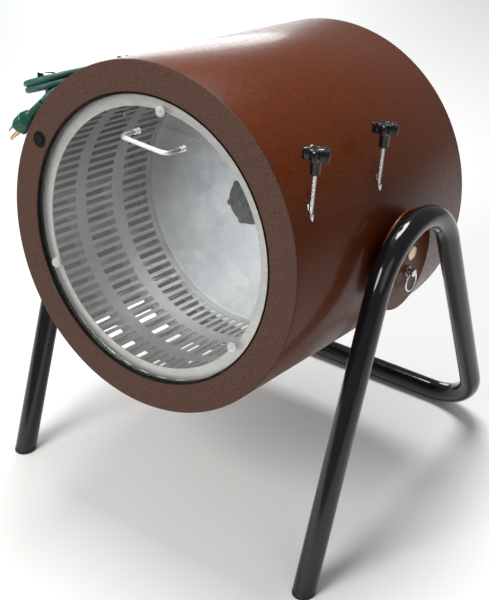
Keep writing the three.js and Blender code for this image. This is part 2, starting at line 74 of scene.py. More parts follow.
# ---- camera ------------------------------------------------------------------------------------
camera_data = bpy.data.cameras.new("camera")
camera_data.lens = 69.62
camera = bpy.data.objects.new("camera", camera_data)
bpy.context.scene.collection.objects.link(camera)
camera.location = (0.8629, -1.2019, 1.1240)
camera.rotation_euler = Vector((-0.50768, 0.69280, -0.51215)).to_track_quat("-Z", "Y").to_euler()
bpy.context.scene.camera = camera


# ---- procedural materials ----------------------------------------------------------------------
class Finish:
    """A node material: one Principled shader fed by procedural textures in object space."""

    def __init__(self, name, color, roughness, metallic=0.0, **sockets):
        self.mat = bpy.data.materials.new(name)
        self.mat.use_nodes = True
        self.tree = self.mat.node_tree
        self.shader = self.tree.nodes["Principled BSDF"]
        self.set("Base Color", (*color, 1))
        self.set("Roughness", roughness)
        self.set("Metallic", metallic)
        for socket, value in sockets.items():
            self.set(socket.replace("_", " "), value)
        self.place = self.tree.nodes.new("ShaderNodeTexCoord").outputs["Object"]

    def set(self, socket, value):
        self.shader.inputs[socket].default_value = value

    def link(self, source, target):
        self.tree.links.new(source, target)

    def stretched(self, scale):
        node = self.tree.nodes.new("ShaderNodeMapping")
        node.inputs["Scale"].default_value = scale
        self.link(self.place, node.inputs["Vector"])
        return node.outputs["Vector"]

    def noise(self, scale, detail=2.0, stretch=None):
        node = self.tree.nodes.new("ShaderNodeTexNoise")
        node.inputs["Scale"].default_value = scale
        node.inputs["Detail"].default_value = detail
        self.link(self.stretched(stretch) if stretch else self.place, node.inputs["Vector"])
        return node.outputs["Fac"]

    def cells(self, scale, feature="F1", output="Distance"):
        node = self.tree.nodes.new("ShaderNodeTexVoronoi")
        node.feature = feature
        node.inputs["Scale"].default_value = scale
        self.link(self.place, node.inputs["Vector"])
        return node.outputs[output]

    def spread(self, source, low, high, start=0.3, end=0.7):
        node = self.tree.nodes.new("ShaderNodeMapRange")
        for socket, value in (
            ("From Min", start), ("From Max", end), ("To Min", low), ("To Max", high),
        ):
            node.inputs[socket].default_value = value
        self.link(source, node.inputs["Value"])
        return node.outputs["Result"]

    def between(self, share, first, second):
        node = self.tree.nodes.new("ShaderNodeMix")
        node.data_type = "RGBA"
        self.link(share, node.inputs["Factor"])
        for socket, value in ((node.inputs[6], first), (node.inputs[7], second)):
            if isinstance(value, tuple):
                socket.default_value = (*value, 1)
            else:
                self.link(value, socket)
        return node.outputs[2]

    def color(self, source):
        self.link(source, self.shader.inputs["Base Color"])

    def roughness(self, source):
        self.link(source, self.shader.inputs["Roughness"])

    def bump(self, height, distance, strength=1.0):
        node = self.tree.nodes.new("ShaderNodeBump")
        node.inputs["Strength"].default_value = strength
        node.inputs["Distance"].default_value = distance
        self.link(height, node.inputs["Height"])
        last = self.shader.inputs["Normal"]
        if last.is_linked:
            self.link(last.links[0].from_socket, node.inputs["Normal"])
        self.link(node.outputs["Normal"], last)


def hammered(name, dark, light, rough, coat):
    paint = Finish(name, dark, rough[0], Coat_Weight=coat, Coat_Roughness=0.13,
                   Specular_IOR_Level=0.12)
    speck = paint.spread(paint.noise(620, 3), 0, 1, 0.34, 0.66)
    blotch = paint.spread(paint.noise(30, 3), 0, 0.5)
    tone = paint.between(speck, dark, light)
    paint.color(paint.between(blotch, tone, tuple(0.72 * c for c in light)))
    paint.roughness(paint.spread(paint.noise(160, 2), *rough))
    paint.bump(paint.cells(520, "SMOOTH_F1"), 0.00022, 0.6)
    paint.bump(paint.noise(1100, 2), 0.00012, 0.5)
    return paint.mat


def black_gloss():
    paint = Finish("stand_black", (0.004, 0.004, 0.005), 0.12, Coat_Weight=0.55, Coat_Roughness=0.03,
                   Specular_IOR_Level=0.2)
    dust = paint.spread(paint.noise(60, 5), 0, 0.35, 0.55, 0.85)
    paint.color(paint.between(dust, (0.004, 0.004, 0.005), (0.02, 0.019, 0.018)))
    paint.roughness(paint.spread(paint.noise(35, 4), 0.08, 0.2))
    paint.bump(paint.noise(240, 2), 0.00012, 0.5)
    return paint.mat


def moulded(name, color, rough, grain=2200, depth=0.00006, **sockets):
    plastic = Finish(name, color, rough, **sockets)
    plastic.roughness(plastic.spread(plastic.noise(90, 4), rough * 0.8, rough * 1.25))
    lighter = tuple(min(1, 1.5 * c + 0.002) for c in color)
    plastic.color(plastic.between(plastic.spread(plastic.noise(140, 4), 0, 0.5), color, lighter))
    plastic.bump(plastic.noise(grain, 3), depth, 0.6)
    return plastic.mat


def rolled_steel(name, dark, light, rough, stretch=(9, 260, 9), metallic=0.92):
    """Sheet metal with fine lines left by the mill, smudges and small stains."""
    steel = Finish(name, dark, rough[0], metallic)
    lines = steel.noise(9, 5, stretch)
    smudge = steel.noise(16, 5)
    tone = steel.between(steel.spread(lines, 0, 1, 0.25, 0.75), dark, light)
    steel.color(steel.between(steel.spread(smudge, 0, 0.35), tone, tuple(0.8 * c for c in dark)))
    steel.roughness(steel.spread(smudge, *rough))
    steel.bump(lines, 0.00004, 0.5)
    return steel.mat


def spangled(name, dark, light, rough):
    """Hot-dip galvanised sheet: patches of crystals, each with its own tone and gloss."""
    zinc = Finish(name, dark, rough[0], 0.6)
    patch = zinc.cells(62, output="Color")
    fine = zinc.noise(210, 4)
    cloud = zinc.spread(zinc.noise(9, 4), 0, 0.7)
    gray = zinc.tree.nodes.new("ShaderNodeSeparateColor")
    zinc.link(patch, gray.inputs[0])
    tone = zinc.between(gray.outputs[0], dark, light)
    tone = zinc.between(zinc.spread(fine, 0, 0.4), tone, tuple(0.8 * c for c in dark))
    zinc.color(zinc.between(cloud, tone, tuple(min(1, 1.08 * c) for c in light)))
    zinc.roughness(zinc.spread(gray.outputs[1], *rough, 0, 1))
    zinc.bump(fine, 0.00003, 0.4)
    return zinc.mat


def plated(name, color, tint, rough, grain=700):
    plate = Finish(name, color, rough, 1.0)
    plate.color(plate.between(plate.spread(plate.noise(120, 4), 0, 0.8), color, tint))
    plate.roughness(plate.spread(plate.noise(220, 4), rough * 0.8, rough * 1.5))
    plate.bump(plate.noise(grain, 2), 0.00002, 0.4)
    return plate.mat


def cast(name, color):
    iron = Finish(name, color, 0.55, 0.5)
    iron.color(iron.between(iron.spread(iron.noise(130, 5), 0, 0.7), color,
                            tuple(1.6 * c for c in color)))
    iron.roughness(iron.spread(iron.noise(300, 3), 0.45, 0.7))
    iron.bump(iron.noise(900, 4), 0.00015, 0.8)
    return iron.mat


def clear_sheet():
    """Thin clear acrylic: a mirror as strong as its Fresnel share, and see-through for the rest."""
    pane = Finish("clear_acrylic", (0.96, 0.98, 0.98), 0.03, 1.0)
    edge = pane.tree.nodes.new("ShaderNodeLayerWeight")
    edge.inputs["Blend"].default_value = 0.5
    steep = pane.tree.nodes.new("ShaderNodeMath")
    steep.operation = "POWER"
    steep.inputs[1].default_value = 3.5
    pane.link(edge.outputs["Facing"], steep.inputs[0])
    pane.link(pane.spread(steep.outputs[0], 0.035, 0.75, 0.0, 1.0), pane.shader.inputs["Alpha"])
    pane.roughness(pane.spread(pane.noise(30, 5), 0.02, 0.09))
    pane.bump(pane.noise(14, 2), 0.0002, 0.12)
    return pane.mat


def clear_plastic():
    plastic = Finish("clear_plastic", (0.66, 0.68, 0.66), 0.08, Alpha=0.4)
    plastic.roughness(plastic.spread(plastic.noise(300, 3), 0.05, 0.14))
    return plastic.mat


def jacket():
    cord = Finish("cord_green", (0.018, 0.08, 0.067), 0.42, Specular_IOR_Level=0.3)
    tone = cord.spread(cord.noise(260, 4), 0, 0.7)
    cord.color(cord.between(tone, (0.014, 0.066, 0.056), (0.03, 0.105, 0.09)))
    cord.roughness(cord.spread(cord.noise(70, 4), 0.36, 0.55))
    cord.bump(cord.noise(1500, 3), 0.00008, 0.6)
    return cord.mat


MATERIALS = {
    "housing_brown": hammered("housing_brown", (0.042, 0.0075, 0.0013), (0.125, 0.0265, 0.0045),
                              (0.3, 0.42), 0.16),
    "ring_brown": hammered("ring_brown", (0.042, 0.021, 0.0155), (0.09, 0.048, 0.035),
                           (0.55, 0.72), 0.0),
    "stand_black": black_gloss(),
    "black_plastic": moulded("black_plastic", (0.009, 0.009, 0.01), 0.42, Specular_IOR_Level=0.3),
    "knob_black": moulded("knob_black", (0.003, 0.003, 0.0035), 0.14, 900, 0.00003,
                          Coat_Weight=0.25, Specular_IOR_Level=0.3),
    "rubber_black": moulded("rubber_black", (0.003, 0.003, 0.003), 0.7, Specular_IOR_Level=0.15),
    "steel": rolled_steel("steel", (0.33, 0.33, 0.32), (0.48, 0.48, 0.47), (0.42, 0.58)),
    "pale_steel": rolled_steel("pale_steel", (0.42, 0.41, 0.385), (0.54, 0.53, 0.50), (0.38, 0.52)),
    "galvanised": spangled("galvanised", (0.66, 0.71, 0.77), (0.86, 0.90, 0.95), (0.32, 0.5)),
    "cast_grey": cast("cast_grey", (0.046, 0.049, 0.05)),
    "zinc_plate": plated("zinc_plate", (0.78, 0.77, 0.75), (0.62, 0.6, 0.58), 0.16),
    "satin_wire": plated("satin_wire", (0.8, 0.79, 0.77), (0.7, 0.69, 0.67), 0.36),
    "yellow_zinc": plated("yellow_zinc", (0.66, 0.5, 0.29), (0.72, 0.6, 0.46), 0.3),
    "clear_acrylic": clear_sheet(),
    "clear_plastic": clear_plastic(),
    "cord_green": jacket(),
    "plug_green": moulded("plug_green", (0.004, 0.052, 0.036), 0.36, 1500, 0.00008,
                          Specular_IOR_Level=0.35),
    "blade_brass": plated("blade_brass", (0.75, 0.53, 0.22), (0.62, 0.42, 0.2), 0.2),
}

# every CAD node that stays in view takes its slot's material
for row in frame["record"]["subparts"]:
    node = frame["nodes"][row["node"]]
    node.data.materials.clear()
    node.data.materials.append(MATERIALS[row["material_slot"]])


# ---- mesh builders: each returns (points, faces) in millimetres --------------------------------
def grid(rows, around=True, caps=(False, False)):
    """A skin over rows of points, closed round each row if around, with flat ends if caps."""
    rows = [np.asarray(row, float) for row in rows]
    count = len(rows[0])
    points = np.concatenate(rows)
    faces = []
    last = count if around else count - 1
    for i in range(len(rows) - 1):
        for k in range(last):
            a = i * count + k
            b = i * count + (k + 1) % count
            faces.append((a, b, b + count, a + count))
    if caps[0]:
        faces.append(tuple(range(count - 1, -1, -1)))
    if caps[1]:
        start = (len(rows) - 1) * count
        faces.append(tuple(range(start, start + count)))
    return points, faces


def rounded(corners, steps=4):
    """A polyline in a plane whose (u, v, radius) corners are rounded; the ends stay sharp."""
    line = [Vector(corners[0][:2])]
    for i in range(1, len(corners) - 1):
        at = Vector(corners[i][:2])
        radius = corners[i][2] if len(corners[i]) > 2 else 0
        if radius <= 0:
            line.append(at)
            continue
        back = (Vector(corners[i - 1][:2]) - at).normalized()
        ahead = (Vector(corners[i + 1][:2]) - at).normalized()
        half = back.angle(ahead) / 2
        reach = radius / math.tan(half)
        middle = at + (back + ahead).normalized() * (radius / math.sin(half))
        first = at + back * reach - middle
        second = at + ahead * reach - middle
        for k in range(steps + 1):
            t = k / steps
            line.append(middle + (first * (1 - t) + second * t).normalized() * radius)
    line.append(Vector(corners[-1][:2]))
    return [(p.x, p.y) for p in line]


def closed_profile(corners, steps=4):
    """A closed section with rounded corners; the first corner is sharp."""
    return rounded([*corners, corners[0]], steps)[:-1]


def lathe(profile, facets=96, closed=True):
    """A section of (radius, y) turned about the Y axis."""
    angles = np.arange(facets) * TAU / facets
    rows = [np.stack([r * np.sin(angles), np.full(facets, y), r * np.cos(angles)], 1)
            for r, y in profile]
    if closed:
        rows.append(rows[0])
        points, faces = grid(rows)
    else:
        points, faces = grid(rows, caps=(True, True))
    return points, faces


def turned_about(axis, profile, facets, at, closed=False):
    """A section of (radius, height) turned about a line parallel to X or Z through at."""
    points, faces = lathe(profile, facets, closed)
    r1, h, r2 = points.T
    if axis == "x":
        points = np.stack([h, r1, r2], 1)
    elif axis == "z":
        points = np.stack([r2, r1, h], 1)
    return points + np.asarray(at, float), faces


def sweep(path, radius, facets=24, caps=True):
    """A round bar along a path; radius is one number or one for each point of the path."""
    path = np.asarray(path, float)
    radii = np.broadcast_to(radius, len(path))
    tangents = np.gradient(path, axis=0)
    tangents /= np.linalg.norm(tangents, axis=1)[:, None]
    side = np.cross(tangents[0], (0, 0, 1) if abs(tangents[0][2]) < 0.9 else (1, 0, 0))
    rows = []
    angles = np.arange(facets) * TAU / facets
    for point, tangent, r in zip(path, tangents, radii):
        side = side - tangent * side.dot(tangent)
        side /= np.linalg.norm(side)
        other = np.cross(tangent, side)
        rows.append(point + r * (np.outer(np.cos(angles), side) + np.outer(np.sin(angles), other)))
    return grid(rows, caps=(caps, caps))


def block(low, high):
    x0, y0, z0 = low
    x1, y1, z1 = high
    points = [(x, y, z) for z in (z0, z1) for y in (y0, y1) for x in (x0, x1)]
    faces = [(0, 2, 3, 1), (4, 5, 7, 6), (0, 1, 5, 4), (2, 6, 7, 3), (0, 4, 6, 2), (1, 3, 7, 5)]
    return np.array(points, float), faces


def joined(*parts):
    points, faces, start = [], [], 0
    for more, shape in parts:
        points.append(np.asarray(more, float))
        faces += [tuple(start + i for i in face) for face in shape]
        start += len(more)
    return np.concatenate(points), faces


def smooth_line(points, steps=8):
    """A Catmull-Rom curve through the points."""
    points = [np.asarray(p, float) for p in points]
    points = [2 * points[0] - points[1], *points, 2 * points[-1] - points[-2]]
    line = []
    for a, b, c, d in zip(points, points[1:], points[2:], points[3:]):
        for t in np.arange(steps) / steps:
            line.append(0.5 * (2 * b + (c - a) * t + (2 * a - 5 * b + 4 * c - d) * t * t
                               + (3 * b - a - 3 * c + d) * t ** 3))
    line.append(points[-2])
    return np.array(line)


def bent_line(corners, steps=10):
    """A polyline in space of (point, radius) corners, with each inner corner rounded."""
    line = [np.array(corners[0][0], float)]
    for (before, _), (at, radius), (after, _) in zip(corners, corners[1:], corners[2:]):
        at = Vector(at)
        back = (Vector(before) - at).normalized()
        ahead = (Vector(after) - at).normalized()
        half = back.angle(ahead) / 2
        middle = at + (back + ahead).normalized() * (radius / math.sin(half))
        first = at + back * (radius / math.tan(half)) - middle
        second = at + ahead * (radius / math.tan(half)) - middle
        turn = math.pi - 2 * half
        for k in range(steps + 1):
            angle = turn * k / steps
            arm = (first * math.sin(turn - angle) + second * math.sin(angle)) / math.sin(turn)
            line.append(np.array(middle + arm))
    line.append(np.array(corners[-1][0], float))
    return np.array(line)


# ---- pieces ------------------------------------------------------------------------------------
SHARP = 30              # degrees: an edge that turns more than this stays sharp
SHARP_ONCE_SOFT = 50    # the same, after the edges have been rounded


def build(name, shape, place, sharp=SHARP):
    points, faces = shape
    mesh = bpy.data.meshes.new(name)
    mesh.from_pydata([tuple(place @ Vector(p)) for p in points], [], faces)
    obj = bpy.data.objects.new(name, mesh)
    bpy.context.scene.collection.objects.link(obj)
    settle(obj, sharp)
    return obj


def settle(obj, sharp):
    """Merges doubled points, faces every side outward, and keeps only real edges sharp."""
    work = bmesh.new()
    work.from_mesh(obj.data)
    bmesh.ops.remove_doubles(work, verts=work.verts, dist=2e-6)
    bmesh.ops.recalc_face_normals(work, faces=work.faces)
    limit = math.radians(sharp)
    for face in work.faces:
        face.smooth = True
    for edge in work.edges:
        edge.smooth = len(edge.link_faces) == 2 and edge.calc_face_angle(0) < limit
    work.to_mesh(obj.data)
    work.free()


def carve(obj, shapes, place, operation="DIFFERENCE"):
    """Cuts solid shapes out of a piece, or keeps what they share."""
    tools = []
    for i, shape in enumerate(shapes):
        tool = build(f"tool_{i}", shape, place)
        modifier = obj.modifiers.new(f"cut_{i}", "BOOLEAN")
        modifier.operation = operation
        modifier.solver = "EXACT"
        modifier.object = tool
        tools.append(tool)
    bpy.context.view_layer.update()
    evaluated = obj.evaluated_get(bpy.context.evaluated_depsgraph_get())
    mesh = bpy.data.meshes.new_from_object(evaluated)
    obj.modifiers.clear()
    obj.data = mesh
    for tool in tools:
        bpy.data.objects.remove(tool)
    settle(obj, SHARP)
    return obj


def soften(obj, width):
    """Rounds every sharp edge of a piece by width, in millimetres."""
    modifier = obj.modifiers.new("edges", "BEVEL")
    modifier.width = width / 1000
    modifier.segments = 2
    modifier.limit_method = "ANGLE"
    modifier.angle_limit = math.radians(SHARP)
    modifier.harden_normals = False
    bpy.context.view_layer.update()
    mesh = bpy.data.meshes.new_from_object(obj.evaluated_get(bpy.context.evaluated_depsgraph_get()))
    obj.modifiers.clear()
    obj.data = mesh
    settle(obj, SHARP_ONCE_SOFT)
    return obj


def finish_piece(obj, material, body, replaced=()):
    obj.data.materials.clear()
    obj.data.materials.append(MATERIALS[material])
    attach(obj, body)
    if replaced:
        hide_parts(*replaced)
    return obj


def piece(name, shape, place, material, body, replaced=(), sharp=SHARP):
    return finish_piece(build(name, shape, place, sharp), material, body, replaced)


def hexagon(y0, y1, across, chamfer=0.8, facets=48, hole=None):
    """A hex nut or head about the Y axis: flats across apart, with turned-down corners."""
    angles = np.arange(facets) * TAU / facets
    flat = across / 2 / np.cos((angles + TAU / 12) % (TAU / 6) - TAU / 12)
    rim = np.minimum(flat, across / 2 * 1.02)
    rows = [(rim, y0), (flat, y0 + chamfer), (flat, y1 - chamfer), (rim, y1)]
    rows = [np.stack([r * np.sin(angles), np.full(facets, y), r * np.cos(angles)], 1)
            for r, y in rows]
    if hole is None:
        return grid(rows, caps=(True, True))
    for y in (y1, y0):
        rows.append(np.stack([hole * np.sin(angles), np.full(facets, y), hole * np.cos(angles)], 1))
    return grid([*rows, rows[0]])


def moved(shape, offset):
    points, faces = shape
    return points + np.asarray(offset, float), faces


def along_axis(shape, axis):
    """Takes a shape made about Y and stands it about X or Z."""
    points, faces = shape
    x, y, z = np.asarray(points, float).T
    return (np.stack([y, x, z], 1) if axis == "x" else np.stack([z, x, y], 1)), faces


def mirrored(shape, sign):
    points, faces = shape
    return np.asarray(points, float) * (sign, 1, 1), faces


SIDES = (("right", 1), ("left", -1))

# ---- cord: out of the gland, wound over the two left knobs, plug at the front ------------------
CORD_D = 8.5
LAYER = 8.7             # from one layer of the hank to the next
FOLD_R = 33
HALF_RUN = 105
HANK_C = np.array([-208.6, 155.5, 141.8])
HANK_TILT = math.radians(22)
HANK_W = np.array([math.cos(HANK_TILT), 0, math.sin(HANK_TILT)])
HANK_N = np.array([-math.sin(HANK_TILT), 0, math.cos(HANK_TILT)])


def hank_point(w, y, h):
    """A point w across the hank, y along it and h above its lowest layer."""
    return HANK_C + HANK_W * w + HANK_N * h + np.array([0, y, 0])


def run(side, y0, y1, h, count=9, bow=0.0):
    """A straight leg of the hank on one side, which bows a little in the middle."""
    return [hank_point(side * (FOLD_R - bow * math.sin(math.pi * t)), y0 + (y1 - y0) * t,
                       h - 0.6 * bow * math.sin(math.pi * t))
            for t in np.linspace(0, 1, count)]


def fold(end, first, h0, h1, count=12):
    """A half turn at one end, from the side first to the other, which drops from h0 to h1."""
    turn = []
    for t in np.linspace(0, 1, count + 1)[1:-1]:
        angle = math.pi * t
        turn.append(hank_point(first * FOLD_R * math.cos(angle),
                               end * (HALF_RUN + FOLD_R * math.sin(angle)),
                               h0 + (h1 - h0) * t))
    return turn


TOP, MIDDLE = 2 * LAYER, LAYER
BOW = 0.8
REAR_RUN = [
    (-127.3, 449, 109.2), (-131.5, 468, 112.7), (-141.6, 481, 121.3), (-155, 484.5, 132.9),
    (-168.4, 479, 144.4), (-176.9, 466, 151.7), (-179.8, 448, 154.2), (-180.6, 420, 155.6),
    (-181.6, 380, 159.2), (-183.4, 335, 165.9), (-184.5, 290, 170.3),
]
TAIL = [(-178, 25, 154.2), (-179.3, 18, 152.1), (-182.9, 12.5, 147.2), (-188.6, 9.6, 139.2)]
rear_line = smooth_line(REAR_RUN, 5)
windings = (
    run(1, HALF_RUN, -HALF_RUN, TOP)
    + fold(-1, 1, TOP, TOP)
    + run(-1, -HALF_RUN, HALF_RUN, TOP, bow=BOW)
    + fold(1, -1, TOP, MIDDLE)
    + run(1, HALF_RUN, -HALF_RUN, MIDDLE)
    + fold(-1, 1, MIDDLE, MIDDLE)
    + run(-1, -HALF_RUN, HALF_RUN, MIDDLE, bow=BOW)
    + fold(1, -1, MIDDLE, 0)
    + run(1, HALF_RUN, -HALF_RUN, 0)
)
route = np.concatenate([rear_line, windings, smooth_line(TAIL, 5)])
cord = piece("cord", sweep(route, CORD_D / 2, 18), HOUSING, "cord_green", "housing",
             ["cord_rear_run", "cord_hank", "cord_tail"])

# plug: strain relief, body, blades, all along one axis
MOUTH = np.array([-189, 9.4, 138.6])
ALONG = Vector((-0.68, -0.05, -0.73)).normalized()
PLUG = HOUSING @ Matrix.Translation(tuple(MOUTH)) @ Vector((0, 1, 0)).rotation_difference(
    ALONG).to_matrix().to_4x4()
relief_rows = [(0, 0.2), (4.7, 0.2)]
for i in range(6):
    y = 2 + 4.2 * i
    swell = 4.9 + 0.18 * i
    relief_rows += [(swell, y), (swell, y + 2.2), (swell - 1.0, y + 2.5), (swell - 1.0, y + 3.8)]
relief_rows += [(6, 27.4), (6, 28.3), (0, 28.3)]
strain_relief = piece("cord_strain_relief", lathe(relief_rows, 32, False), PLUG, "plug_green",
                      "housing", ["strain_relief"], 40)


def section(y, width, depth, power=2.6, count=40):
    """One rounded-square section of the plug, centred on its axis."""
    angles = np.arange(count) * TAU / count
    c, s = np.cos(angles), np.sin(angles)
    return np.stack([width * np.sign(c) * np.abs(c) ** (2 / power), np.full(count, y),
                     depth * np.sign(s) * np.abs(s) ** (2 / power)], 1)


body_rows = [section(28.6, 5.6, 5.6, 2), section(30, 7.4, 7.2, 2)]
for i in range(4):
    y = 31.4 + 2.6 * i
    w = 8.6 + 0.75 * i
    body_rows += [section(y, w, w - 0.5), section(y + 1.5, w + 0.1, w - 0.4),
                  section(y + 1.8, w - 0.7, w - 1.2), section(y + 2.4, w - 0.6, w - 1.1)]
body_rows += [section(42.4, 11.4, 10.9, 3), section(56, 11.5, 11, 3.2),
              section(57.6, 11.2, 10.7, 3.2), section(58.4, 10.4, 9.9, 3.2)]
plug_body = piece("plug_moulding", grid(body_rows, caps=(True, True)), PLUG, "plug_green", "housing",
                  ["plug_body"], 40)


def blade(x, name):
    low, high = (x - 0.75, 58.2, -0.2), (x + 0.75, 74.9, 6.1)
    obj = build(name, block(low, high), PLUG)
    hole = turned_about("x", [(0, -3), (1.6, -3), (1.6, 3), (0, 3)], 20, (x, 71, 3))
    carve(obj, [hole], PLUG)
    soften(obj, 0.25)
    return finish_piece(obj, "blade_brass", "housing", [name.replace("prong", "plug_blade")])


prongs = [blade(-6.3, "prong_1"), blade(6.3, "prong_2")]
ground = piece("prong_ground", moved(lathe(
    rounded([(0, 58.2), (2.4, 58.2), (2.4, 77.9, 2.0), (0, 77.9)], 5), 24, False), (0, 0, -8)),
    PLUG, "blade_brass", "housing", ["plug_ground_pin"])

# ---- housing -----------------------------------------------------------------------------------
R = 229
SHEET = 1.6             # thickness of the housing's sheet metal
SHELL_IN = R - SHEET
LENGTH = 426
HOLE_R = 189.6
ROD_X, ROD_YS = 210, (44, 202)
PIVOT = (256, -12)
BUTTON_AT = (-185.2, 0, 90.8)
GLAND_AT = (-127.3, 0, 109.2)

shell = build("housing_wrap", lathe(closed_profile(
    [(SHELL_IN, 2.4), (R, 2.4, 0.5), (R, LENGTH - 2, 0.5), (SHELL_IN, LENGTH - 2)], 2), 256), HOUSING)
chute = [(x, y) for x, y in rounded(
    [(0, 50), (140, 50, 8), (140, 215, 8), (-140, 215, 8), (-140, 50, 8), (0, 50)], 5)][:-1]
cuts = [grid([[(x, y, z) for x, y in chute] for z in (-260, -100)], caps=(True, True))]
cuts += [turned_about("z", [(0, 50), (5.3, 50), (5.3, 130), (0, 130)], 32, (x, y, 0))
         for x in (-ROD_X, ROD_X) for y in ROD_YS]
cuts.append(turned_about("x", [(0, -260), (6.5, -260), (6.5, 260), (0, 260)], 32, (0, *PIVOT)))
carve(shell, cuts, HOUSING)
finish_piece(shell, "housing_brown", "housing", ["housing_shell"])

RIM = SHELL_IN - 0.4
face_ring = build("front_face", lathe(closed_profile([
    (197, SHEET), (HOLE_R + SHEET, SHEET, 0.8), (HOLE_R + SHEET, 9), (HOLE_R, 9), (HOLE_R, 0, 1.6),
    (R, 0, 1.5), (R, 2.0), (RIM, 2.0), (RIM, 14), (RIM - SHEET, 14), (RIM - SHEET, SHEET),
], 4), 256), HOUSING)
carve(face_ring, [moved(lathe([(0, -8), (9.8, -8), (9.8, 12), (0, 12)], 48, False), BUTTON_AT)],
      HOUSING)
finish_piece(face_ring, "ring_brown", "housing", ["front_ring"])

piece("hole_edging", lathe(closed_profile([
    (187.6, 4), (187.6, -0.6, 0.8), (189.3, -0.6, 0.7), (189.3, 10.5), (187.6, 10.5, 0.5),
], 4), 192), HOUSING, "rubber_black", "housing", ["hole_trim"])

cover = build("back_cover", lathe(rounded([
    (0, 424.4), (RIM - SHEET, 424.4, 0.8), (RIM - SHEET, 410), (RIM, 410), (RIM, 424.3),
    (R, 424.3), (R, LENGTH, 1.4), (60, LENGTH, 0.5), (57, 425.4, 0.5), (0, 425.4),
], 4), 192, False), HOUSING)
vents = []
for i in range(-3, 4):
    outline = rounded([(16 * i, -140), (16 * i + 3, -140, 2.9), (16 * i + 3, -80, 2.9),
                       (16 * i - 3, -80, 2.9), (16 * i - 3, -140, 2.9), (16 * i, -140)], 5)[:-1]
    vents.append(grid([[(x, y, z) for x, z in outline] for y in (415, 435)], caps=(True, True)))
vents.append(moved(lathe([(0, 415), (8.3, 415), (8.3, 435), (0, 435)], 32, False), GLAND_AT))
carve(cover, vents, HOUSING)
finish_piece(cover, "housing_brown", "housing", ["rear_cover"])


def screw_head(name, x, z, radius):
    """A pan head with a cross recess, on the back of the housing."""
    base = LENGTH + 0.05
    head = build(name, moved(lathe(rounded([
        (0, 0), (radius, 0), (radius, 1.4, 0.7), (radius * 0.72, 2.2, 0.8), (0, 2.4)], 3),
        32, False), (x, base, z)), HOUSING)
    long, narrow = radius * 0.5, 0.45
    recess = [block((x - long, base + 1.1, z - narrow), (x + long, base + 4, z + narrow)),
              block((x - narrow, base + 1.1, z - long), (x + narrow, base + 4, z + long))]
    carve(head, recess, HOUSING)
    finish_piece(head, "zinc_plate", "housing")


COVER_SCREW_R = 214
for i in range(6):
    angle = TAU * (i + 0.5) / 6
    screw_head(f"cover_screw_{i + 1}", COVER_SCREW_R * math.sin(angle),
               COVER_SCREW_R * math.cos(angle), 4.2)
for sign in (-1, 1):
    for z in (-146, -74):
        screw_head(f"vent_screw_{sign + 2}_{-z}", sign * 62, z, 3.2)

gland_shape = [hexagon(426.3, 431, 22, 0.9, hole=8.1), hexagon(414, 421, 19, 0.8, hole=8.1)]
dome = [(8, 414), (8, 431.4), (8.9, 431.8)]
for i in range(5):
    dome += [(8.9, 432.2 + 1.5 * i), (8.3, 432.9 + 1.5 * i)]
dome += [(8.6, 440), (7.4, 443.5), (6.4, 447.6), (5.2, 448), (4.55, 448), (4.55, 414)]
gland_shape.append(lathe(closed_profile([(r, y) for r, y in dome]), 40))
piece("cable_gland", moved(joined(*gland_shape), GLAND_AT), HOUSING, "black_plastic", "housing",
      ["cord_gland"])

# ---- power button ------------------------------------------------------------------------------
piece("button_bezel", moved(lathe(closed_profile([
    (7.6, 7), (7.6, -1.5, 0.6), (10.8, -1.5, 1.0), (10.8, -0.3), (9.5, -0.3), (9.5, 30), (4, 30),
    (4, 7)], 4), 48), BUTTON_AT), HOUSING, "rubber_black", "housing", ["button_switch"])
piece("button_cap", moved(lathe(rounded([
    (0, -1.9), (5.6, -2.3, 3), (7.2, -2.6, 0.9), (7.2, 3.2), (0, 3.2)], 4), 48, False),
    BUTTON_AT), HOUSING, "rubber_black", "power_button", ["power_button"])


# ---- drum and sieve cradle ---------------------------------------------------------------------
STRIP = 3.5             # plain metal drawn round each slot, before the wider strips between bands


def square(value):
    """Pushes a cosine or sine outward, so that a round slot end becomes a squared one."""
    return math.copysign(min(abs(value) ** 0.3, 1), value) if abs(value) > 1e-9 else 0.0


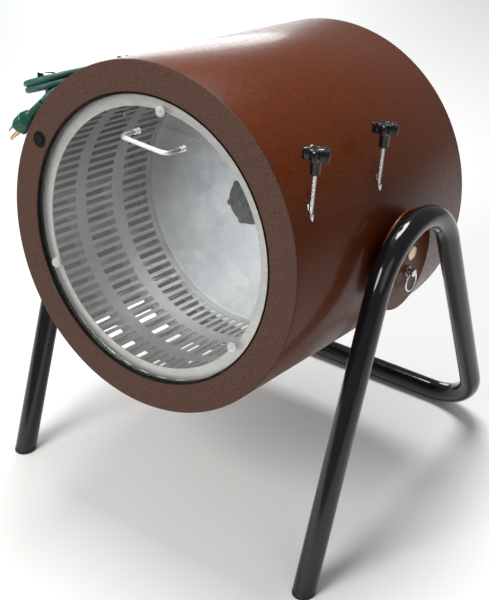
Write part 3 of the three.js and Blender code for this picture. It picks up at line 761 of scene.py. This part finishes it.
def slotted_sheet(r_in, r_out, y0, y1, bands, pitch, first, count, half_width, rest=()):
    """A rolled sheet with rows of slots along its axis. Angles are in degrees from +X upward;
    rest lists plain angles after the last slot, and with none the sheet closes on itself."""
    half = math.radians(pitch / 2)
    ends = 6
    marks = [-half, -half / 2, 0, half / 2, half]
    points, faces, index = [], [], {}

    def vertex(angle, y, r):
        key = (round(angle * 1e5), round(y * 1e3), r)
        if not rest:
            key = (round(angle % TAU * 1e5) % round(TAU * 1e5), *key[1:])
        if key not in index:
            index[key] = len(points)
            points.append((r * math.cos(angle), y, r * math.sin(angle)))
        return index[key]

    def quad(*corners):
        inner = [vertex(a, y, r_in) for a, y in corners]
        outer = [vertex(a, y, r_out) for a, y in corners]
        faces.append(inner)
        faces.append(outer[::-1])

    def wall(p, q):
        faces.append([vertex(*p, r_in), vertex(*q, r_in), vertex(*q, r_out), vertex(*p, r_out)])

    arc = [(square(math.cos(math.pi * k / ends)), square(math.sin(math.pi * k / ends)))
           for k in range(ends + 1)]
    w = half_width / r_in
    rows = [y0]
    for low, high in bands:
        rows += [low - STRIP, high + STRIP]
    rows.append(y1)
    for i in range(count):
        middle = math.radians(first + pitch * (i + 0.5))
        for j in range(0, len(rows), 2):
            for a, b in zip(marks, marks[1:]):
                quad((middle + a, rows[j]), (middle + b, rows[j]),
                     (middle + b, rows[j + 1]), (middle + a, rows[j + 1]))
        for a, b in zip(marks, marks[1:]):
            wall((middle + a, y0), (middle + b, y0))
            wall((middle + b, y1), (middle + a, y1))
        for low, high in bands:
            top_y, bottom_y = high - half_width, low + half_width
            slot = [(w * c, top_y + half_width * s) for c, s in arc]
            slot += [(-w * c, bottom_y - half_width * s) for c, s in arc]
            over, under = high + STRIP, low - STRIP
            edge = [(half, top_y), (half, over), (half / 2, over), (0, over), (-half / 2, over),
                    (-half, over), (-half, top_y), (-half, bottom_y), (-half, under),
                    (-half / 2, under), (0, under), (half / 2, under), (half, under),
                    (half, bottom_y)]
            slot = [(middle + a, y) for a, y in slot]
            edge = [(middle + a, y) for a, y in edge]
            for k in range(len(slot)):
                n = (k + 1) % len(slot)
                quad(edge[k], edge[n], slot[n], slot[k])
                wall(slot[k], slot[n])
    if rest:
        levels = sorted({y for low, high in bands for y in
                         (low - STRIP, low + half_width, high - half_width, high + STRIP)} | {y0, y1})
        for start, end in rest:
            start, end = math.radians(start), math.radians(end)
            for a, b in zip(levels, levels[1:]):
                quad((start, a), (end, a), (end, b), (start, b))
            wall((start, y0), (end, y0))
            wall((end, y1), (start, y1))
        outer_ends = (math.radians(min(s for s, _ in rest)), math.radians(max(e for _, e in rest)))
        for angle in outer_ends:
            for a, b in zip(levels, levels[1:]):
                wall((angle, a), (angle, b))
    return np.array(points), [tuple(f) for f in faces]


BANDS = [(17, 65), (86, 140), (163, 214.5)]
piece("slotted_drum", slotted_sheet(181, 182.4, 12, 226, BANDS, 4, 0, 90, 3.6), HOUSING, "steel",
      "drum", ["drum_shell"])
TRAY_BANDS = [(22, 68), (88, 142), (165, 214)]
TRAY_EDGES = [(180.1, 182), (358, 359.9)]
piece("slotted_tray", slotted_sheet(199, 200.5, 14, 226, TRAY_BANDS, 8, 182, 22, 7.4, TRAY_EDGES),
      HOUSING, "steel", "cradle", ["sieve_cradle"])
for side, sign in SIDES:
    rail = build(f"tray_rail_{side}", mirrored(block((200.8, 14, -6), (216.5, 226, 0)), sign),
                 HOUSING)
    holes = [turned_about("z", [(0, -20), (3.4, -20), (3.4, 20), (0, 20)], 24, (sign * ROD_X, y, 0))
             for y in ROD_YS]
    holes.append(mirrored(block((202.6, 0, -20), (215, 240, -1.8)), sign))
    carve(rail, holes, HOUSING)
    soften(rail, 0.35)
    finish_piece(rail, "steel", "cradle", [f"cradle_rail_{side}"])

flange = build("mouth_flange", lathe(closed_profile([
    (178, 9.7), (186.6, 9.7, 0.5), (186.6, 11.7, 0.5), (171, 11.7, 0.6), (171, 9.7, 0.6)], 3), 192),
    HOUSING)
finish_piece(flange, "pale_steel", "drum", ["drum_flange"])

back = build("drum_end", lathe(closed_profile([
    (30, 226.3), (174, 226.3), (177, 227.2, 2), (182.4, 227.2), (182.4, 228.3), (9.8, 228.3),
    (9.8, 226.3)], 3), 160), HOUSING)
finish_piece(back, "galvanised", "drum", ["drum_back_plate"])

piece("hub_casting", lathe(rounded([
    (0, 206.5), (9, 206.5, 0.6), (9, 209, 0.5), (14.5, 209.5, 1.2), (18.5, 219, 1.2),
    (32.5, 221, 1.4), (32.5, 226), (0, 226)], 4), 72, False), HOUSING, "cast_grey", "drum",
    ["drum_hub"])
HUB_BOLT_R = 29.5
for i in range(6):
    angle = math.radians(60 * i + 15)
    at = (HUB_BOLT_R * math.cos(angle), 0, HUB_BOLT_R * math.sin(angle))
    bolt = [hexagon(217.5, 220.8, 8, 0.6),
            lathe(rounded([(0, 220), (5.4, 220, 0.3), (5.4, 221.2), (0, 221.2)], 2), 32, False)]
    piece(f"hub_bolt_{i + 1}", moved(joined(*bolt), at), HOUSING, "cast_grey", "drum")
piece("hub_centre_bolt", joined(
    hexagon(203, 206.4, 9, 0.8),
    lathe(rounded([(0, 205.4), (7, 205.4, 0.4), (7, 206.5), (0, 206.5)], 2), 40, False),
), HOUSING, "cast_grey", "drum")

# ---- door --------------------------------------------------------------------------------------
DOOR_R = 186.6
CLIP_AT_R = 173
PULL_HALF_SPAN, PULL_REACH, PULL_Z, WIRE_R = 36, 24, 136, 2.9
pane_profile = [(0, 3.5), (DOOR_R, 3.5, 0.9), (DOOR_R, 9.3, 0.9), (0, 9.3)]
piece("door_glazing", lathe(rounded(pane_profile, 4), 192, False), DOOR, "clear_acrylic", "door",
      ["door_pane"])
for i in range(3):
    angle = i * TAU / 3
    at = (CLIP_AT_R * math.sin(angle), 0, CLIP_AT_R * math.cos(angle))
    head = lathe(rounded([(0, -1.3), (4.6, -1.2, 2), (7, 1.2, 1.2), (7, 3.2), (3, 3.2), (3, 11.4),
                          (0, 11.4)], 4), 40, False)
    knob = build(f"door_clip_{i + 1}", moved(head, at), DOOR)
    carve(knob, [block((at[0] - 4, -3, at[2] - 0.6), (at[0] + 4, -0.2, at[2] + 0.6))], DOOR)
    finish_piece(knob, "clear_plastic", "door", [f"door_fastener_{i + 1}"])
wire = [((-PULL_HALF_SPAN, 3.2, PULL_Z), 0), ((-PULL_HALF_SPAN, -PULL_REACH, PULL_Z), 9),
        ((PULL_HALF_SPAN, -PULL_REACH, PULL_Z), 9), ((PULL_HALF_SPAN, 3.2, PULL_Z), 0)]
grip = [sweep(bent_line(wire, 12), WIRE_R, 24)]
stud = lathe(rounded([(0, 3.1), (2.1, 3.1), (2.1, 10.3), (0, 10.3)], 2), 24, False)
washer = lathe(closed_profile([(2.9, 2.4), (3.9, 2.4, 0.4), (3.9, 3.4), (2.9, 3.4)], 3), 32)
stud_head = lathe(rounded([(0, 9.6), (4.2, 9.6, 0.2), (4.2, 10.3, 0.3), (3.2, 11.6, 0.8),
                           (0, 11.6)], 3), 32, False)
for x in (-PULL_HALF_SPAN, PULL_HALF_SPAN):
    grip += [moved(shape, (x, 0, PULL_Z)) for shape in (stud, washer, stud_head)]
piece("door_pull", joined(*grip), DOOR, "satin_wire", "door", ["door_handle"])

# ---- stand -------------------------------------------------------------------------------------
TUBE_R, BORE_R = 15.875, 13.9
HALF_WIDTH = 260.2
BEND_R, CORNER_R = 102.6, 80
BEND_AT = (-6.2, 349.2)
FRONT_LEAN, REAR_LEAN = math.radians(20.5), math.radians(23.4)


def tangent_point(lean, sign):
    return (BEND_AT[0] + sign * BEND_R * math.cos(lean), BEND_AT[1] + BEND_R * math.sin(lean))


front, rear = tangent_point(FRONT_LEAN, -1), tangent_point(REAR_LEAN, 1)
rise = (rear[0] - front[0] + (rear[1] - front[1]) * math.tan(REAR_LEAN)) / (
    math.tan(FRONT_LEAN) + math.tan(REAR_LEAN))
foot_y = front[0] - front[1] * math.tan(FRONT_LEAN)
BURIED = 60             # the legs start this far under the floor and are cut off flat
apex = (front[0] + rise * math.tan(FRONT_LEAN), front[1] + rise)
rear_corner = (rear[0] + (rear[1] - TUBE_R) * math.tan(REAR_LEAN), TUBE_R)
buried = (foot_y - BURIED * math.tan(FRONT_LEAN), -BURIED)
w = HALF_WIDTH
stand_line = bent_line([
    ((-w, *buried), 0), ((-w, *apex), BEND_R), ((-w, *rear_corner), CORNER_R),
    ((w, *rear_corner), CORNER_R), ((w, *apex), BEND_R), ((w, *buried), 0)], 28)
stand = build("bent_tube", sweep(stand_line, TUBE_R, 40), STAND)
carve(stand, [sweep(stand_line, BORE_R, 32)], STAND)
carve(stand, [block((-400, -400, -200), (400, 0, 6.3))], STAND)
finish_piece(stand, "stand_black", "stand", ["stand_tube"])
for side, sign in SIDES:
    leg = [(sign * w, *buried), (sign * w, *front)]
    foot = build(f"foot_{side}", sweep(leg, TUBE_R, 40), STAND)
    carve(foot, [block((-400, -400, 0), (400, 0, 6))], STAND, "INTERSECT")
    soften(foot, 0.8)
    finish_piece(foot, "black_plastic", "stand", [f"foot_cap_{side}"])

# ---- pivots and lock pins ----------------------------------------------------------------------
PLATE_OUT = HALF_WIDTH - TUBE_R - 0.3
PIN_R, PIN_ANGLE = 25, math.radians(28.6)
PIN_AT = (PIVOT_AT[0] - PIN_R * math.sin(PIN_ANGLE), PIVOT_AT[1] - PIN_R * math.cos(PIN_ANGLE))
RING_X = PLATE_OUT + 8
RING_R, RING_WIRE = 13.5, 1.6
for side, sign in SIDES:
    def part(name, shape, material, body="stand", replaced=(), side=side, sign=sign):
        return piece(f"{name}_{side}", mirrored(shape, sign), STAND, material, body, replaced)

    disc = rounded([(0, PLATE_OUT - 4), (70, PLATE_OUT - 4, 1.2), (70, PLATE_OUT, 1.2),
                    (0, PLATE_OUT)], 4)
    part("side_plate", turned_about("x", disc, 128, (0, -3.7, 391.2)), "housing_brown",
         replaced=[f"pivot_plate_{side}"])
    dome = rounded([(0, PLATE_OUT + 0.3), (10.3, PLATE_OUT + 0.3), (10.3, PLATE_OUT + 1.3, 0.5),
                    (8.6, PLATE_OUT + 2.5, 1.5), (0, PLATE_OUT + 3.1)], 5)
    shank = rounded([(0, 217), (6, 217, 0.6), (6, PLATE_OUT + 1), (0, PLATE_OUT + 1)], 3)
    nut = moved(along_axis(hexagon(217, 225.5, 17, 1), "x"), (0, *PIVOT_AT))
    part("carriage_bolt", joined(turned_about("x", dome, 48, (0, *PIVOT_AT)),
                                 turned_about("x", shank, 32, (0, *PIVOT_AT)), nut),
         "yellow_zinc", replaced=[f"pivot_bolt_{side}"])
    small = rounded([(0, PLATE_OUT - 0.1), (7, PLATE_OUT - 0.1), (7, PLATE_OUT + 1.1, 0.5),
                     (5.6, PLATE_OUT + 2.1, 1), (0, PLATE_OUT + 2.5)], 5)
    part("plate_bolt", turned_about("x", small, 40, (0, -60.6, 411.9)), "yellow_zinc")
    collar = moved(along_axis(hexagon(PLATE_OUT + 0.3, PLATE_OUT + 3.5, 12.6, 0.7, hole=3.5), "x"),
                   (0, *PIN_AT))
    part("pin_collar", collar, "zinc_plate", replaced=[f"plunger_barrel_{side}"])
    pin = build(f"index_pin_{side}", mirrored(turned_about("x", rounded([
        (0, PLATE_OUT - 5.5), (2.4, PLATE_OUT - 5.5, 0.5), (3, PLATE_OUT - 4, 0.5),
        (3, PLATE_OUT + 4), (5.4, PLATE_OUT + 4, 0.5), (5.4, RING_X + 5, 1.2), (0, RING_X + 5)], 4),
        40, (0, *PIN_AT)), sign), STAND)
    eye = moved(lathe([(0, -10), (3.1, -10), (3.1, 20), (0, 20)], 24, False),
                (RING_X, 0, PIN_AT[1]))
    carve(pin, [mirrored(eye, sign)], STAND)
    finish_piece(pin, "zinc_plate", f"lock_pin_{side}", [f"lock_pin_{side}"])
    loop = [(RING_X, PIN_AT[0] + RING_R * math.sin(a), PIN_AT[1] - RING_R + RING_R * math.cos(a))
            for a in np.linspace(0.05, TAU - 0.05, 61)]
    part("pull_loop", sweep(loop, RING_WIRE, 16), "zinc_plate", f"pull_ring_{side}",
         [f"pull_ring_{side}"])

# ---- height adjusters: threaded rods, star knobs and the bushes that they pass through ---------
STAR_R, LOBE = 17.2, 3.2


def star(at):
    """A five-lobed knob on its hub, open at the bottom for the rod."""
    count = 100
    angles = np.arange(count) * TAU / count
    lobes = STAR_R - LOBE + LOBE * np.cos(5 * angles)

    def row(z, radius=None, inset=0.0):
        r = np.full(count, float(radius)) if radius is not None else lobes - inset
        return np.stack([r * np.cos(angles), r * np.sin(angles), np.full(count, z)], 1)

    rows = [
        row(140, 3.4), row(135.5, 3.4), row(135.5, 5.4), row(136.3, 6.2), row(152, 7),
        row(153.5, 7.6), row(153.5, inset=1.4), row(153.9, inset=0.5), row(154.9),
        row(164.6, inset=0.1), row(165.8, inset=0.5), row(166.4, inset=1.4), row(166.5, inset=2.4),
        row(166.5, 8), row(166.1, 7.6), row(165.9, 7.2), row(165.9, 0.01),
    ]
    return moved(grid(rows), at)


def threaded(low, high, at, facets=14, pitch=1.0, steps=4):
    """A rod from low to high with a single-start thread on it."""
    angles = np.arange(facets) * TAU / facets
    rows = []
    for z in np.arange(low, high, pitch / steps):
        phase = (z / pitch - angles / TAU) % 1
        r = 2.55 + 0.45 * np.abs(2 * phase - 1)
        rows.append(np.stack([r * np.cos(angles), r * np.sin(angles), np.full(facets, z)], 1))
    return moved(grid(rows, caps=(True, True)), at)


for side, sign in SIDES:
    for place_name, y in zip(("front", "rear"), ROD_YS):
        label = f"{place_name}_{side}"
        at = (sign * ROD_X, y, 0)
        piece(f"knob_{label}", star(at), HOUSING, "knob_black", f"adjuster_{label}",
              [f"star_knob_{label}"])
        nuts = [moved(along_axis(hexagon(-11, -6.3, 10, 0.7), "z"), at),
                moved(along_axis(hexagon(0.3, 5, 10, 0.7), "z"), at)]
        piece(f"threaded_rod_{label}", joined(threaded(-15, 157, at), *nuts), HOUSING,
              "zinc_plate", f"adjuster_{label}", [f"adjuster_rod_{label}"], 60)
        bush = closed_profile([(3.35, 74), (4.2, 74), (4.2, 82), (4.2, 87.5, 0.3),
                               (3.35, 87.5, 0.2)], 3)
        piece(f"rod_bush_{label}", turned_about("z", bush, 32, at, True), HOUSING, "zinc_plate",
              "housing")

# ---- floor and lights --------------------------------------------------------------------------
floor_finish = Finish("floor_matt", (0.74, 0.74, 0.73), 0.7)
floor_finish.color(floor_finish.between(floor_finish.noise(0.8, 3), (0.73, 0.73, 0.72),
                                        (0.76, 0.76, 0.75)))
floor = build("floor", block((-9000, -9000, -20), (9000, 9000, -0.3)), MM)
floor.data.materials.append(floor_finish.mat)


def lamp(name, at, target, size, power, color=(1, 1, 1)):
    data = bpy.data.lights.new(name, "AREA")
    data.shape = "DISK"
    data.size = size
    data.energy = power
    data.color = color
    obj = bpy.data.objects.new(name, data)
    bpy.context.scene.collection.objects.link(obj)
    obj.location = at
    obj.rotation_euler = (Vector(target) - Vector(at)).to_track_quat("-Z", "Y").to_euler()


lamp("key", (-0.5, -2.6, 2.1), (0, -0.1, 0.35), 1.6, 85, (1, 0.985, 0.96))
lamp("fill", (2.2, -1.3, 1.6), (0, 0, 0.35), 1.8, 9)
lamp("top", (-0.3, 0.5, 2.6), (0, 0, 0.4), 1.2, 66)
lamp("rim", (-2.1, 2.35, 0.95), (-0.05, 0, 0.5), 1.3, 24, (0.94, 0.98, 1))

world = bpy.data.worlds.new("studio")
bpy.context.scene.world = world
world.use_nodes = True
sky = world.node_tree.nodes["Background"]
sky.inputs["Color"].default_value = (0.95, 0.97, 1.0, 1)
path = world.node_tree.nodes.new("ShaderNodeLightPath")
strength = world.node_tree.nodes.new("ShaderNodeMapRange")
AMBIENT, BACKDROP = 0.26, 0.95      # the world as it lights the object, and as it is seen
strength.inputs["To Min"].default_value = AMBIENT
strength.inputs["To Max"].default_value = BACKDROP
world.node_tree.links.new(path.outputs["Is Camera Ray"], strength.inputs["Value"])
world.node_tree.links.new(strength.outputs["Result"], sky.inputs["Strength"])
bpy.context.scene.view_settings.view_transform = "Standard"
